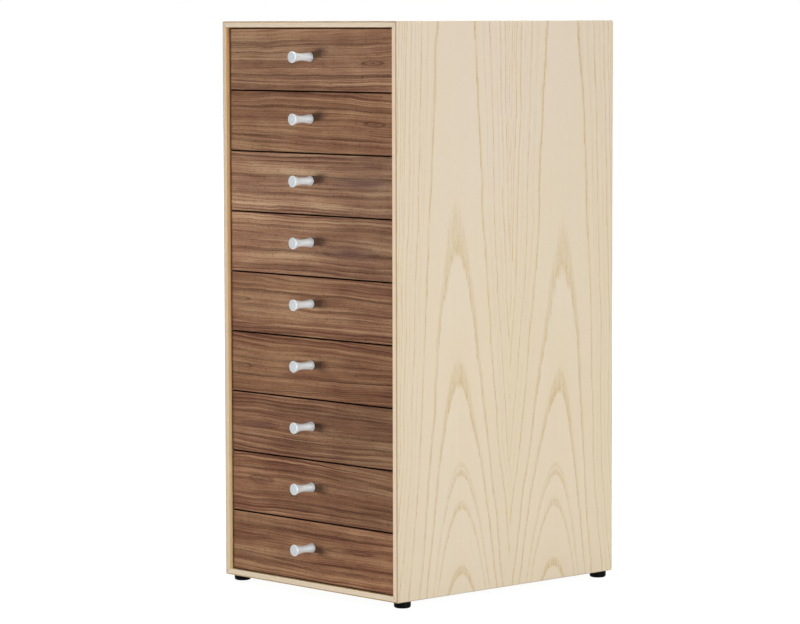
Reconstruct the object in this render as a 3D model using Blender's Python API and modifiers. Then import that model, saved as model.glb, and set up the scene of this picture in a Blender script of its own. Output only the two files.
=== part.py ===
"""A tall, narrow chest of drawers for a table top: a mitred ash case with nine inset walnut drawers.

Metres, +Z up, +Y towards the back. The origin is on the table, under the middle of the whole
chest with its pulls. Drawer 1 is the top one.
"""

import math

import bmesh
import bpy
from mathutils import Matrix

# The case, without its glides
CASE_WIDTH = 0.293
CASE_DEPTH = 0.342
CASE_HEIGHT = 0.640
BOARD_THICKNESS = 0.007
CORNER_RADIUS = 0.002
FRONT_ARRIS = 0.0015
BACK_ARRIS = 0.0006

# Gaps: at glued or seated faces, in a running groove, and what a cutter reaches past its wall
SEAT_GAP = 0.0003
RUNNING_GAP = 0.0003
CUT_OVERRUN = 0.002
MERGE_DISTANCE = 0.00001

# The back panel and the rebate that holds it
BACK_THICKNESS = 0.005
REBATE_WIDTH = 0.004

# The grooved boards on the inside of the case's sides, which carry the drawers
GROOVE_DEPTH = 0.005
RUNNER_WEB = 0.004
GROOVE_END_PLAY = 0.0005

# The screw-in glides
GLIDE_RADIUS = 0.0095
GLIDE_HEIGHT = 0.007
GLIDE_ROUND = 0.0025
GLIDE_STEM_RADIUS = 0.0025
GLIDE_HOLE_FLOOR = 0.002
GLIDE_SIDE_INSET = 0.0105
GLIDE_FRONT_INSET = 0.017
GLIDE_BACK_INSET = 0.013

# The drawer fronts and the spaces round them; the top drawer takes the height that is left over
DRAWER_COUNT = 9
TOP_DRAWER_EXTRA = 0.0023
FRONT_RECESS = 0.005
FRONT_THICKNESS = 0.012
FRONT_SIDE_GAP = 0.0012
FRONT_GAP = 0.0016
FRONT_ARRIS_EASE = 0.0004
FRONT_GROOVE_DEPTH = 0.005

# The drawer boxes
BOTTOM_THICKNESS = 0.004
BOTTOM_RISE = 0.008
WALL_THICKNESS = 0.008
WALL_SIDE_PLAY = 0.0008
WALL_TOP_DROP = 0.007
DRAWER_BACK_PLAY = 0.007

# The turned pulls and the screws that hold them
PULL_LENGTH = 0.0285
PULL_HEAD_RADIUS = 0.00675
PULL_WAIST_RADIUS = 0.0042
PULL_BASE_RADIUS = 0.00585
PULL_RIM = 0.0019
PULL_BASE_EASE = 0.0004
PULL_LIFT = 0.00405
SCREW_RADIUS = 0.002
SCREW_HEAD_RADIUS = 0.004
SCREW_HEAD_HEIGHT = 0.0024
SCREW_HEAD_ROUND = 0.0012
SCREW_REACH = 0.008
SCREW_TIP_PLAY = 0.002

# Facets of the round work
TURNED_STEPS = 20
GLIDE_STEPS = 24
HOLE_STEPS = 16
WAIST_STEPS = 8
RIM_STEPS = 3
CORNER_STEPS = 3
ARRIS_STEPS = 2
SHARP_ANGLE = math.radians(35)

# Places that follow from the sizes above
PULL_STAND = SEAT_GAP + PULL_LENGTH - FRONT_RECESS
CASE_FRONT = (PULL_STAND - CASE_DEPTH) / 2
CASE_BACK = CASE_FRONT + CASE_DEPTH
CASE_MIDDLE = (CASE_FRONT + CASE_BACK) / 2
CASE_UNDERSIDE = GLIDE_HEIGHT + SEAT_GAP
CASE_TOP = CASE_UNDERSIDE + CASE_HEIGHT
INNER_FLOOR = CASE_UNDERSIDE + BOARD_THICKNESS
INNER_CEILING = CASE_TOP - BOARD_THICKNESS
INNER_HALF_WIDTH = CASE_WIDTH / 2 - BOARD_THICKNESS
DRAWER_PITCH = (INNER_CEILING - INNER_FLOOR - TOP_DRAWER_EXTRA) / DRAWER_COUNT
FRONT_FACE = CASE_FRONT + FRONT_RECESS
FRONT_REAR = FRONT_FACE + FRONT_THICKNESS
BACK_PANEL_FACE = CASE_BACK - BACK_THICKNESS
RUNNER_OUTER = INNER_HALF_WIDTH - SEAT_GAP
RUNNER_INNER = RUNNER_OUTER - RUNNER_WEB - GROOVE_DEPTH
WALL_OUTER = RUNNER_INNER - WALL_SIDE_PLAY
BOTTOM_HALF_WIDTH = RUNNER_INNER + GROOVE_DEPTH - GROOVE_END_PLAY
DRAWER_REAR = BACK_PANEL_FACE - DRAWER_BACK_PLAY
GLIDE_HOLE_DEPTH = BOARD_THICKNESS - GLIDE_HOLE_FLOOR

# Colours as they look, in shares of full red, green and blue
ASH = (0.87, 0.80, 0.71)
ASH_BACK = (0.83, 0.75, 0.64)
WALNUT = (0.54, 0.40, 0.31)
BIRCH_PLY = (0.80, 0.69, 0.53)
SATIN_METAL = (0.76, 0.75, 0.75)
STEEL = (0.62, 0.62, 0.63)
BLACK_PLASTIC = (0.05, 0.05, 0.05)


def clear_scene():
    for thing in list(bpy.data.objects):
        bpy.data.objects.remove(thing, do_unlink=True)


def new_collection(name):
    group = bpy.data.collections.new(name)
    bpy.context.scene.collection.children.link(group)
    return group


def linear(share):
    """The light that goes with one share of a colour as it looks."""
    if share <= 0.04045:
        return share / 12.92
    return ((share + 0.055) / 1.055) ** 2.4


def new_material(name, colour, roughness, metallic):
    material = bpy.data.materials.new(name)
    material.use_nodes = True
    surface = material.node_tree.nodes["Principled BSDF"]
    surface.inputs["Base Color"].default_value = (*map(linear, colour), 1)
    surface.inputs["Roughness"].default_value = roughness
    surface.inputs["Metallic"].default_value = metallic
    return material


def place(name, mesh, group, material=None, at=(0, 0, 0), turn=(0, 0, 0), parent=None):
    """A new object in its collection, at its place in the world or under its parent."""
    if material is not None:
        mesh.materials.clear()
        mesh.materials.append(material)
    thing = bpy.data.objects.new(name, mesh)
    group.objects.link(thing)
    thing.location = at
    thing.rotation_euler = turn
    thing.parent = parent
    return thing


def finish_mesh(form, mesh):
    """Writes the worked form into the mesh and shades its round faces smooth."""
    form.to_mesh(mesh)
    form.free()
    mesh.shade_smooth()
    mesh.set_sharp_from_angle(angle=SHARP_ANGLE)
    return mesh


def box_mesh(name, size):
    form = bmesh.new()
    bmesh.ops.create_cube(form, size=1, matrix=Matrix.Diagonal((*size, 1)))
    return finish_mesh(form, bpy.data.meshes.new(name))


def outline_form(name, points, height):
    """A flat outline made a solid of this height, half above and half below its plane."""
    curve = bpy.data.curves.new(name, "CURVE")
    curve.dimensions = "2D"
    curve.fill_mode = "BOTH"
    curve.extrude = height / 2
    spline = curve.splines.new("POLY")
    spline.points.add(len(points) - 1)
    spline.use_cyclic_u = True
    for point, (across, up) in zip(spline.points, points):
        point.co = (across, up, 0, 1)
    flat = place(name + "_outline", curve, bpy.context.scene.collection)
    bpy.context.view_layer.update()
    graph = bpy.context.evaluated_depsgraph_get()
    mesh = bpy.data.meshes.new_from_object(flat.evaluated_get(graph))
    bpy.data.objects.remove(flat, do_unlink=True)
    bpy.data.curves.remove(curve)
    form = bmesh.new()
    form.from_mesh(mesh)
    bpy.data.meshes.remove(mesh)
    bmesh.ops.remove_doubles(form, verts=form.verts, dist=MERGE_DISTANCE)
    bmesh.ops.dissolve_limit(form, angle_limit=math.radians(1), verts=form.verts, edges=form.edges)
    bmesh.ops.recalc_face_normals(form, faces=form.faces)
    return form


def turned_mesh(name, profile):
    """The half section of a turned piece, from the top of its axis down to the bottom of it."""
    mesh = bpy.data.meshes.new(name)
    corners = [(radius, 0, height) for radius, height in profile]
    lines = [(i, i + 1) for i in range(len(corners) - 1)]
    mesh.from_pydata(corners, lines, [])
    return mesh


def turn_profile(piece, steps):
    """Spins a half section round its Z axis."""
    spin = piece.modifiers.new("Spin", "SCREW")
    spin.axis = "Z"
    spin.angle = math.radians(360)
    spin.steps = steps
    spin.render_steps = steps
    spin.use_merge_vertices = True
    spin.merge_threshold = MERGE_DISTANCE


def cut(piece, cutter):
    hollow = piece.modifiers.new(cutter.name, "BOOLEAN")
    hollow.operation = "DIFFERENCE"
    hollow.object = cutter


def as_cutter(thing):
    thing.hide_render = True
    thing.display_type = "WIRE"
    return thing


def round_cutter(name, radius, height, group, at, turn=(0, 0, 0), parent=None):
    """A drill: a round cutter whose axis is Z before it is turned."""
    form = bmesh.new()
    bmesh.ops.create_cone(
        form, cap_ends=True, segments=HOLE_STEPS, radius1=radius, radius2=radius, depth=height
    )
    mesh = finish_mesh(form, bpy.data.meshes.new(name))
    return as_cutter(place(name, mesh, group, at=at, turn=turn, parent=parent))


def mitred_outline(length):
    """One case board seen from the front, its outer face along the top edge of the outline.

    Each end is cut at 45 degrees and stands back by half the joint's gap. Its outer corner is
    the board's half of the case's rounded corner.
    """
    half_gap = SEAT_GAP / 2
    corner_start = math.acos(-half_gap / CORNER_RADIUS) - math.radians(45)
    right = []
    for i in range(CORNER_STEPS + 1):
        angle = corner_start + (math.radians(90) - corner_start) * i / CORNER_STEPS
        across = length / 2 - CORNER_RADIUS + CORNER_RADIUS * math.cos(angle)
        up = CORNER_RADIUS * math.sin(angle) - CORNER_RADIUS
        right.append((across, up))
    inner = (length / 2 - BOARD_THICKNESS - half_gap * math.sqrt(2), -BOARD_THICKNESS)
    left = [(-across, up) for across, up in reversed(right)]
    return [inner, *right, *left, (-inner[0], inner[1])]


def ease_outer_edge(form, face_height, width):
    """Rounds the long outer edge of a board where it meets its front or back face."""
    edge = []
    for line in form.edges:
        on_face = all(abs(end.co.z - face_height) < MERGE_DISTANCE for end in line.verts)
        outside = all(end.co.y > -BOARD_THICKNESS / 2 for end in line.verts)
        if on_face and outside:
            edge.append(line)
    bmesh.ops.bevel(
        form, geom=edge, offset=width, segments=ARRIS_STEPS, profile=0.5, affect="EDGES", clamp_overlap=False
    )


def case_board_mesh(name, length):
    form = outline_form(name, mitred_outline(length), CASE_DEPTH)
    ease_outer_edge(form, CASE_DEPTH / 2, FRONT_ARRIS)
    ease_outer_edge(form, -CASE_DEPTH / 2, BACK_ARRIS)
    return finish_mesh(form, bpy.data.meshes.new(name))


def glide_places():
    """Name and place of each glide, seen from above."""
    reach = CASE_WIDTH / 2 - GLIDE_SIDE_INSET
    rows = (("front", CASE_FRONT + GLIDE_FRONT_INSET), ("back", CASE_BACK - GLIDE_BACK_INSET))
    return [
        (f"{row}_{side}_glide", across * reach, along)
        for row, along in rows
        for side, across in (("left", -1), ("right", 1))
    ]


def build_case_boards(parts, cutters, ash):
    """Four boards round the drawers, mitred at the corners and rebated for the back panel."""
    middle = (CASE_UNDERSIDE + CASE_TOP) / 2
    half_width = CASE_WIDTH / 2
    upright = math.radians(90)
    boards = {}
    for name, length, across, height, lean in (
        ("case_top", CASE_WIDTH, 0, CASE_TOP, 0),
        ("case_right_side", CASE_HEIGHT, half_width, middle, upright),
        ("case_bottom", CASE_WIDTH, 0, CASE_UNDERSIDE, 2 * upright),
        ("case_left_side", CASE_HEIGHT, -half_width, middle, -upright),
    ):
        mesh = case_board_mesh(name, length)
        mesh.transform(Matrix.Rotation(lean, 4, "Y") @ Matrix.Rotation(upright, 4, "X"))
        boards[name] = place(name, mesh, parts, ash, at=(across, CASE_MIDDLE, height))
    size = (
        2 * (INNER_HALF_WIDTH + REBATE_WIDTH),
        BACK_THICKNESS + SEAT_GAP + CUT_OVERRUN,
        INNER_CEILING - INNER_FLOOR + 2 * REBATE_WIDTH,
    )
    along = CASE_BACK + CUT_OVERRUN - size[1] / 2
    rebate = place("rebate_cutter", box_mesh("rebate_cutter", size), cutters, at=(0, along, middle))
    as_cutter(rebate)
    for board in boards.values():
        cut(board, rebate)
    for name, across, along in glide_places():
        height = GLIDE_HOLE_DEPTH + CUT_OVERRUN
        at = (across, along, CASE_UNDERSIDE + GLIDE_HOLE_DEPTH - height / 2)
        hole = round_cutter(name + "_hole", GLIDE_STEM_RADIUS + SEAT_GAP, height, cutters, at)
        cut(boards["case_bottom"], hole)


def build_back_panel(parts, veneer):
    size = (
        2 * (INNER_HALF_WIDTH + REBATE_WIDTH - SEAT_GAP),
        BACK_THICKNESS,
        INNER_CEILING - INNER_FLOOR + 2 * (REBATE_WIDTH - SEAT_GAP),
    )
    at = (0, BACK_PANEL_FACE + BACK_THICKNESS / 2, (INNER_FLOOR + INNER_CEILING) / 2)
    place("back_panel", box_mesh("back_panel", size), parts, veneer, at=at)


def runner_outline(side):
    """A runner board seen from the front: a plank with one groove for each drawer's bottom."""
    low = INNER_FLOOR + SEAT_GAP
    high = INNER_CEILING - SEAT_GAP
    points = [(RUNNER_OUTER, high), (RUNNER_OUTER, low), (RUNNER_INNER, low)]
    for step in range(DRAWER_COUNT):
        under = INNER_FLOOR + step * DRAWER_PITCH + BOTTOM_RISE - RUNNING_GAP
        over = under + BOTTOM_THICKNESS + 2 * RUNNING_GAP
        floor = RUNNER_INNER + GROOVE_DEPTH
        points += [(RUNNER_INNER, under), (floor, under), (floor, over), (RUNNER_INNER, over)]
    points.append((RUNNER_INNER, high))
    return [(side * across, up) for across, up in points]


def build_runner_boards(parts, ply):
    """They fill the space behind the fronts, so their front edges also stop the drawers."""
    start = FRONT_REAR + SEAT_GAP
    length = BACK_PANEL_FACE - SEAT_GAP - start
    for name, side in (("left_runner_board", -1), ("right_runner_board", 1)):
        form = outline_form(name, runner_outline(side), length)
        mesh = finish_mesh(form, bpy.data.meshes.new(name))
        mesh.transform(Matrix.Rotation(math.radians(90), 4, "X"))
        place(name, mesh, parts, ply, at=(0, start + length / 2, 0))


def glide_profile():
    """From the tip of the stem, over the flange, to the rounded foot."""
    profile = [(0, GLIDE_HOLE_DEPTH), (GLIDE_STEM_RADIUS, GLIDE_HOLE_DEPTH), (GLIDE_STEM_RADIUS, 0)]
    profile.append((GLIDE_RADIUS, 0))
    for i in range(RIM_STEPS + 1):
        angle = math.radians(90) * i / RIM_STEPS
        out = GLIDE_RADIUS - GLIDE_ROUND + GLIDE_ROUND * math.cos(angle)
        profile.append((out, GLIDE_ROUND - GLIDE_HEIGHT - GLIDE_ROUND * math.sin(angle)))
    profile.append((0, -GLIDE_HEIGHT))
    return profile


def build_glides(parts, plastic):
    mesh = turned_mesh("glide", glide_profile())
    for name, across, along in glide_places():
        glide = place(name, mesh, parts, plastic, at=(across, along, GLIDE_HEIGHT))
        turn_profile(glide, GLIDE_STEPS)


def pull_profile():
    """From the middle of the face, round the rim, down the waist to the foot and up its bore."""
    profile = [(0, PULL_LENGTH)]
    for i in range(RIM_STEPS + 1):
        angle = math.radians(90) * (1 - i / RIM_STEPS)
        out = PULL_HEAD_RADIUS - PULL_RIM + PULL_RIM * math.cos(angle)
        profile.append((out, PULL_LENGTH - PULL_RIM + PULL_RIM * math.sin(angle)))
    shank = PULL_LENGTH - PULL_RIM - PULL_BASE_EASE
    for i in range(1, WAIST_STEPS + 1):
        down = i / WAIST_STEPS
        end = PULL_HEAD_RADIUS if down < 0.5 else PULL_BASE_RADIUS
        swell = (2 * down - 1) ** 2
        out = PULL_WAIST_RADIUS + (end - PULL_WAIST_RADIUS) * swell
        profile.append((out, PULL_BASE_EASE + shank * (1 - down)))
    profile.append((PULL_BASE_RADIUS - PULL_BASE_EASE, 0))
    bore = SCREW_RADIUS + SEAT_GAP
    bore_depth = SCREW_REACH + SCREW_TIP_PLAY
    profile += [(bore, 0), (bore, bore_depth), (0, bore_depth)]
    return profile


def screw_profile():
    """The screw stands on its head: from its tip down the shank to the domed head."""
    length = FRONT_THICKNESS + 2 * SEAT_GAP + SCREW_REACH
    profile = [(0, length), (SCREW_RADIUS, length), (SCREW_RADIUS, 0), (SCREW_HEAD_RADIUS, 0)]
    for i in range(RIM_STEPS + 1):
        angle = math.radians(90) * i / RIM_STEPS
        out = SCREW_HEAD_RADIUS - SCREW_HEAD_ROUND + SCREW_HEAD_ROUND * math.cos(angle)
        profile.append((out, SCREW_HEAD_ROUND - SCREW_HEAD_HEIGHT - SCREW_HEAD_ROUND * math.sin(angle)))
    profile.append((0, -SCREW_HEAD_HEIGHT))
    return profile


def front_heights(step):
    """Bottom and top of a drawer's front above the bottom of its own space."""
    bottom = FRONT_SIDE_GAP if step == 0 else FRONT_GAP / 2
    if step == DRAWER_COUNT - 1:
        return bottom, DRAWER_PITCH + TOP_DRAWER_EXTRA - FRONT_GAP
    return bottom, DRAWER_PITCH - FRONT_GAP / 2


def build_drawer_front(name, step, slide, parts, cutters, walnut):
    """A veneered board with a stopped groove for the bottom and a hole for the pull's screw."""
    low, high = front_heights(step)
    size = (2 * (INNER_HALF_WIDTH - FRONT_SIDE_GAP), FRONT_THICKNESS, high - low)
    at = (0, FRONT_THICKNESS / 2, (low + high) / 2)
    front = place(name, box_mesh(name, size), parts, walnut, at=at, parent=slide)
    ease = front.modifiers.new("Eased arrises", "BEVEL")
    ease.width = FRONT_ARRIS_EASE
    ease.segments = ARRIS_STEPS
    groove_depth = FRONT_GROOVE_DEPTH + CUT_OVERRUN
    groove_size = (
        2 * (BOTTOM_HALF_WIDTH + SEAT_GAP),
        groove_depth,
        BOTTOM_THICKNESS + 2 * SEAT_GAP,
    )
    groove_at = (
        0,
        FRONT_THICKNESS + CUT_OVERRUN - groove_depth / 2,
        BOTTOM_RISE + BOTTOM_THICKNESS / 2,
    )
    mesh = box_mesh(name + "_groove", groove_size)
    groove = place(name + "_groove", mesh, cutters, at=groove_at, parent=slide)
    cut(front, as_cutter(groove))
    hole = round_cutter(
        name + "_hole",
        SCREW_RADIUS + SEAT_GAP,
        FRONT_THICKNESS + 2 * CUT_OVERRUN,
        cutters,
        at=(0, FRONT_THICKNESS / 2, DRAWER_PITCH / 2 + PULL_LIFT),
        turn=(math.radians(90), 0, 0),
        parent=slide,
    )
    cut(front, hole)


def drawer_walls_mesh():
    """Two sides and a back folded from one board, open to the front."""
    start = FRONT_THICKNESS + SEAT_GAP
    rear = DRAWER_REAR - FRONT_FACE
    inner = WALL_OUTER - WALL_THICKNESS
    points = [
        (-WALL_OUTER, start),
        (-inner, start),
        (-inner, rear - WALL_THICKNESS),
        (inner, rear - WALL_THICKNESS),
        (inner, start),
        (WALL_OUTER, start),
        (WALL_OUTER, rear),
        (-WALL_OUTER, rear),
    ]
    form = outline_form("drawer_walls", points, wall_height())
    return finish_mesh(form, bpy.data.meshes.new("drawer_walls"))


def wall_height():
    return DRAWER_PITCH - BOTTOM_RISE - BOTTOM_THICKNESS - SEAT_GAP - WALL_TOP_DROP


def drawer_bottom_mesh():
    """A thin board under the walls; its edges run past them as tongues."""
    length = DRAWER_REAR - FRONT_FACE - bottom_start()
    return box_mesh("drawer_bottom", (2 * BOTTOM_HALF_WIDTH, length, BOTTOM_THICKNESS))


def bottom_start():
    return FRONT_THICKNESS - FRONT_GROOVE_DEPTH + SEAT_GAP


def build_drawers(parts, cutters, walnut, ply, metal, steel):
    """Each drawer hangs under an empty on its slide, at the bottom of its space in the case."""
    walls_mesh = drawer_walls_mesh()
    bottom_mesh = drawer_bottom_mesh()
    pull_mesh = turned_mesh("pull", pull_profile())
    screw_mesh = turned_mesh("pull_screw", screw_profile())
    forward = (math.radians(90), 0, 0)
    pull_height = DRAWER_PITCH / 2 + PULL_LIFT
    bottom_middle = (bottom_start() + DRAWER_REAR - FRONT_FACE) / 2
    walls_middle = BOTTOM_RISE + BOTTOM_THICKNESS + SEAT_GAP + wall_height() / 2
    for step in range(DRAWER_COUNT):
        name = f"drawer_{DRAWER_COUNT - step}"
        slide = place(
            name + "_slide", None, parts, at=(0, FRONT_FACE, INNER_FLOOR + step * DRAWER_PITCH)
        )
        build_drawer_front(name + "_front", step, slide, parts, cutters, walnut)
        place(name + "_walls", walls_mesh, parts, ply, at=(0, 0, walls_middle), parent=slide)
        at = (0, bottom_middle, BOTTOM_RISE + BOTTOM_THICKNESS / 2)
        place(name + "_bottom", bottom_mesh, parts, ply, at=at, parent=slide)
        at = (0, -SEAT_GAP, pull_height)
        pull = place(name + "_pull", pull_mesh, parts, metal, at=at, turn=forward, parent=slide)
        turn_profile(pull, TURNED_STEPS)
        at = (0, FRONT_THICKNESS + SEAT_GAP, pull_height)
        screw = place(
            name + "_pull_screw", screw_mesh, parts, steel, at=at, turn=forward, parent=slide
        )
        turn_profile(screw, HOLE_STEPS)


def build_chest():
    clear_scene()
    parts = new_collection("miniature_chest")
    cutters = new_collection("chest_cutters")
    ash = new_material("ash_veneer", ASH, 0.5, 0)
    ash_back = new_material("ash_back", ASH_BACK, 0.6, 0)
    walnut = new_material("walnut_veneer", WALNUT, 0.45, 0)
    ply = new_material("birch_ply", BIRCH_PLY, 0.6, 0)
    metal = new_material("satin_pull_metal", SATIN_METAL, 0.35, 1)
    steel = new_material("screw_steel", STEEL, 0.35, 1)
    plastic = new_material("black_glide_plastic", BLACK_PLASTIC, 0.45, 0)
    build_case_boards(parts, cutters, ash)
    build_back_panel(parts, ash_back)
    build_runner_boards(parts, ply)
    build_glides(parts, plastic)
    build_drawers(parts, cutters, walnut, ply, metal, steel)


build_chest()
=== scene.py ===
import math

import bpy
from mathutils import Matrix, Vector


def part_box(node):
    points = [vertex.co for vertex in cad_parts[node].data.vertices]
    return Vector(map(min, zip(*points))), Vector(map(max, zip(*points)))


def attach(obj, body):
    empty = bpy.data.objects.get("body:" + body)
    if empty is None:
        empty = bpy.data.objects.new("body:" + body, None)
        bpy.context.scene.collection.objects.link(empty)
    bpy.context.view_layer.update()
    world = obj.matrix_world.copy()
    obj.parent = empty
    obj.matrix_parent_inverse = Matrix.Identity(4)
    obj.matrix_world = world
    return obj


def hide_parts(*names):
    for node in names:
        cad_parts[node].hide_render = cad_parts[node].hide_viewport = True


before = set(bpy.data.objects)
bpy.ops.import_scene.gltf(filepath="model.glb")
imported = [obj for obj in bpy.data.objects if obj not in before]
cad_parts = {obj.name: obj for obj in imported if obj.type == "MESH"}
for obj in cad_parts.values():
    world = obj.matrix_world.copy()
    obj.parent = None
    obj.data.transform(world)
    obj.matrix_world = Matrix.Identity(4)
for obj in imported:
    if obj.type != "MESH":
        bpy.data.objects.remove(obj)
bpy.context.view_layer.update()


# The camera stands to the front right of the chest, about level with its top, and
# looks slightly down. Its lens is long, so that the upright edges stay almost parallel.
PHOTO_WIDTH = 800
CAMERA_PLACE = Vector((2.9448, -2.7642, 0.6483))
CAMERA_YAW = math.radians(46.996)
CAMERA_DIP = math.radians(4.760)
CAMERA_ROLL = math.radians(0.145)
CAMERA_REACH_PIXELS = 3507.3

lens = bpy.data.cameras.new("camera")
lens.sensor_width = 36.0
lens.lens = lens.sensor_width * CAMERA_REACH_PIXELS / PHOTO_WIDTH
lens.clip_start = 0.1
lens.clip_end = 60.0
camera = bpy.data.objects.new("camera", lens)
bpy.context.scene.collection.objects.link(camera)
camera.location = CAMERA_PLACE
turned_round = Matrix.Rotation(CAMERA_YAW, 4, "Z")
dipped = Matrix.Rotation(math.pi / 2 - CAMERA_DIP, 4, "X")
rolled = Matrix.Rotation(-CAMERA_ROLL, 4, "Z")
camera.rotation_euler = (turned_round @ dipped @ rolled).to_euler()
bpy.context.scene.camera = camera
bpy.context.scene.view_settings.view_transform = "Standard"


# Light falls as in a small product studio. A low wide soft box to the front left gives
# the pulls their shadows and a tall narrow one lights the right side. Another hangs
# overhead, behind the plane of the fronts, and one behind the chest lights its back.
def soft_box(name, place, aim, width, height, watts):
    """A flat lamp that faces the chest."""
    light = bpy.data.lights.new(name, "AREA")
    light.shape = "RECTANGLE"
    light.size = width
    light.size_y = height
    light.energy = watts
    lamp = bpy.data.objects.new(name, light)
    bpy.context.scene.collection.objects.link(lamp)
    lamp.location = place
    lamp.rotation_euler = (Vector(aim) - Vector(place)).to_track_quat("-Z", "Y").to_euler()
    return lamp


front_box = soft_box(
    "front_box",
    place=(-1.30, -2.32, 0.24),
    aim=(0, -0.15, 0.29),
    width=1.2,
    height=0.40,
    watts=52,
)
front_box.visible_glossy = False
soft_box(
    "side_box",
    place=(2.35, -0.22, 0.46),
    aim=(0.15, -0.10, 0.32),
    width=0.16,
    height=1.3,
    watts=44.5,
)
soft_box(
    "ceiling_box",
    place=(0.1, 0.10, 2.4),
    aim=(0, 0.10, 0.5),
    width=1.2,
    height=0.5,
    watts=22,
)
soft_box(
    "rear_box",
    place=(-1.6, 2.0, 1.2),
    aim=(0, 0.1, 0.3),
    width=1.4,
    height=1.4,
    watts=50,
)


# The chest stands on a wide pale floor under an even white surround. The camera,
# metal and varnish see that white; the floor keeps the chest's soft shadow.
class Field:
    """One socket of a material's nodes. Arithmetic on it adds Math nodes."""

    def __init__(self, tree, socket=None):
        self.tree = tree
        self.socket = socket

    def feed(self, target, value):
        if isinstance(value, Field):
            self.tree.links.new(value.socket, target)
        else:
            target.default_value = value

    def node(self, kind, settings=None, sockets=None, output=0):
        """Adds any node: its settings first, then the values or links of its sockets."""
        made = self.tree.nodes.new("ShaderNode" + kind)
        for name, value in (settings or {}).items():
            if name == "stops":
                lay_stops(made.color_ramp, value)
            elif name == "curve":
                draw_curve(made.mapping, value)
            else:
                setattr(made, name, value)
        for key, value in (sockets or {}).items():
            self.feed(made.inputs[key], value)
        return Field(self.tree, made.outputs[output])

    def maths(self, operation, *values):
        return self.node("Math", {"operation": operation}, dict(enumerate(values)))

    def __add__(self, other):
        return self.maths("ADD", self, other)

    def __radd__(self, other):
        return self.maths("ADD", other, self)

    def __sub__(self, other):
        return self.maths("SUBTRACT", self, other)

    def __rsub__(self, other):
        return self.maths("SUBTRACT", other, self)

    def __mul__(self, other):
        return self.maths("MULTIPLY", self, other)

    def __rmul__(self, other):
        return self.maths("MULTIPLY", other, self)

    def __truediv__(self, other):
        return self.maths("DIVIDE", self, other)

    def __rtruediv__(self, other):
        return self.maths("DIVIDE", other, self)

    def __pow__(self, other):
        return self.maths("POWER", self, other)

    def __rpow__(self, other):
        return self.maths("POWER", other, self)

    def __abs__(self):
        return self.maths("ABSOLUTE", self)

    def least(self, other):
        return self.maths("MINIMUM", self, other)

    def most(self, other):
        return self.maths("MAXIMUM", self, other)

    def fraction(self):
        """How far this value is past a whole number."""
        return self.maths("FRACT", self)

    def hypotenuse(self, other):
        """How far off a point is, from its distances along two square directions."""
        return (self * self + other * other) ** 0.5

    def ramp(self, low, high, start=0.0, end=1.0):
        """Climbs smoothly from start at low to end at high, and stays level beyond."""
        return self.node(
            "MapRange",
            {"interpolation_type": "SMOOTHSTEP"},
            {"Value": self, "From Min": low, "From Max": high, "To Min": start, "To Max": end},
        )

    def fade(self, low, high):
        """Falls smoothly from 1 at low to 0 at high."""
        return self.ramp(low, high, 1.0, 0.0)

    def curved(self, points):
        """Follows a curve drawn through points."""
        return self.node("FloatCurve", {"curve": points}, {"Value": self})

    def coloured(self, stops):
        """The colour of a ramp at this share."""
        return self.node("ValToRGB", {"stops": stops}, {0: self})

    def tint(self, low_colour, high_colour):
        """Blends two colours by this share. A Mix node holds them in its inputs 6 and 7."""
        return self.node(
            "Mix",
            {"data_type": "RGBA"},
            {0: self, 6: low_colour, 7: high_colour},
            output=2,
        )

    def shade(self, colour):
        """Multiplies a colour by this value."""
        return self.node("VectorMath", {"operation": "SCALE"}, {0: colour, "Scale": self})

    def stretched(self, scale):
        """A place or colour whose three parts are scaled one by one."""
        return self.node("VectorMath", {"operation": "MULTIPLY"}, {0: self, 1: scale})

    def parts(self):
        """The three parts of a place or colour."""
        split = self.node("SeparateXYZ", None, {0: self})
        return [Field(self.tree, out) for out in split.socket.node.outputs]

    def noise(self, scale, detail=2.0, roughness=0.5):
        """Soft noise from 0 to 1 at this place, finer where scale is higher."""
        return self.node(
            "TexNoise",
            {"noise_dimensions": "3D", "normalize": True},
            {
                "Vector": self.stretched(scale),
                "Scale": 1.0,
                "Detail": detail,
                "Roughness": roughness,
            },
        )


def lay_stops(ramp, stops):
    """Puts a ramp's stops at their shares, each a level of grey or a colour."""
    while len(ramp.elements) < len(stops):
        ramp.elements.new(1.0)
    for element, (share, level) in zip(ramp.elements, stops):
        element.position = share
        element.color = (level, level, level, 1) if isinstance(level, float) else level


def draw_curve(mapping, points):
    """Leads a curve through its points."""
    line = mapping.curves[0]
    while len(line.points) < len(points):
        line.points.new(1.0, 1.0)
    for point, place in zip(line.points, points):
        point.location = place
    mapping.update()


def new_finish(name):
    """A fresh material, the start of its maths and the shader it ends in."""
    finish = bpy.data.materials.new(name)
    finish.use_nodes = True
    shader = finish.node_tree.nodes["Principled BSDF"]
    return finish, Field(finish.node_tree), shader


def dress(shader, colour, roughness, height, depth, strength=0.5):
    """Gives a shader its colour, its roughness and a relief, whose depth is in metres."""
    relief = height.node(
        "Bump", None, {"Height": height, "Distance": depth, "Strength": strength}
    )
    height.feed(shader.inputs["Base Color"], colour)
    height.feed(shader.inputs["Roughness"], roughness)
    height.feed(shader.inputs["Normal"], relief)


def place_in_millimetres(start):
    """Where on the piece the surface point lies, as in the chest at rest."""
    place = start.node("TexCoord", output="Object")
    return place.node("VectorMath", {"operation": "SCALE"}, {0: place, "Scale": 1000.0})


def light_of(look):
    """The light values of a colour given as it looks, in shares of 255."""
    shares = [level / 255 for level in look]
    return tuple(
        share / 12.92 if share <= 0.04045 else ((share + 0.055) / 1.055) ** 2.4
        for share in shares
    ) + (1.0,)


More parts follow.
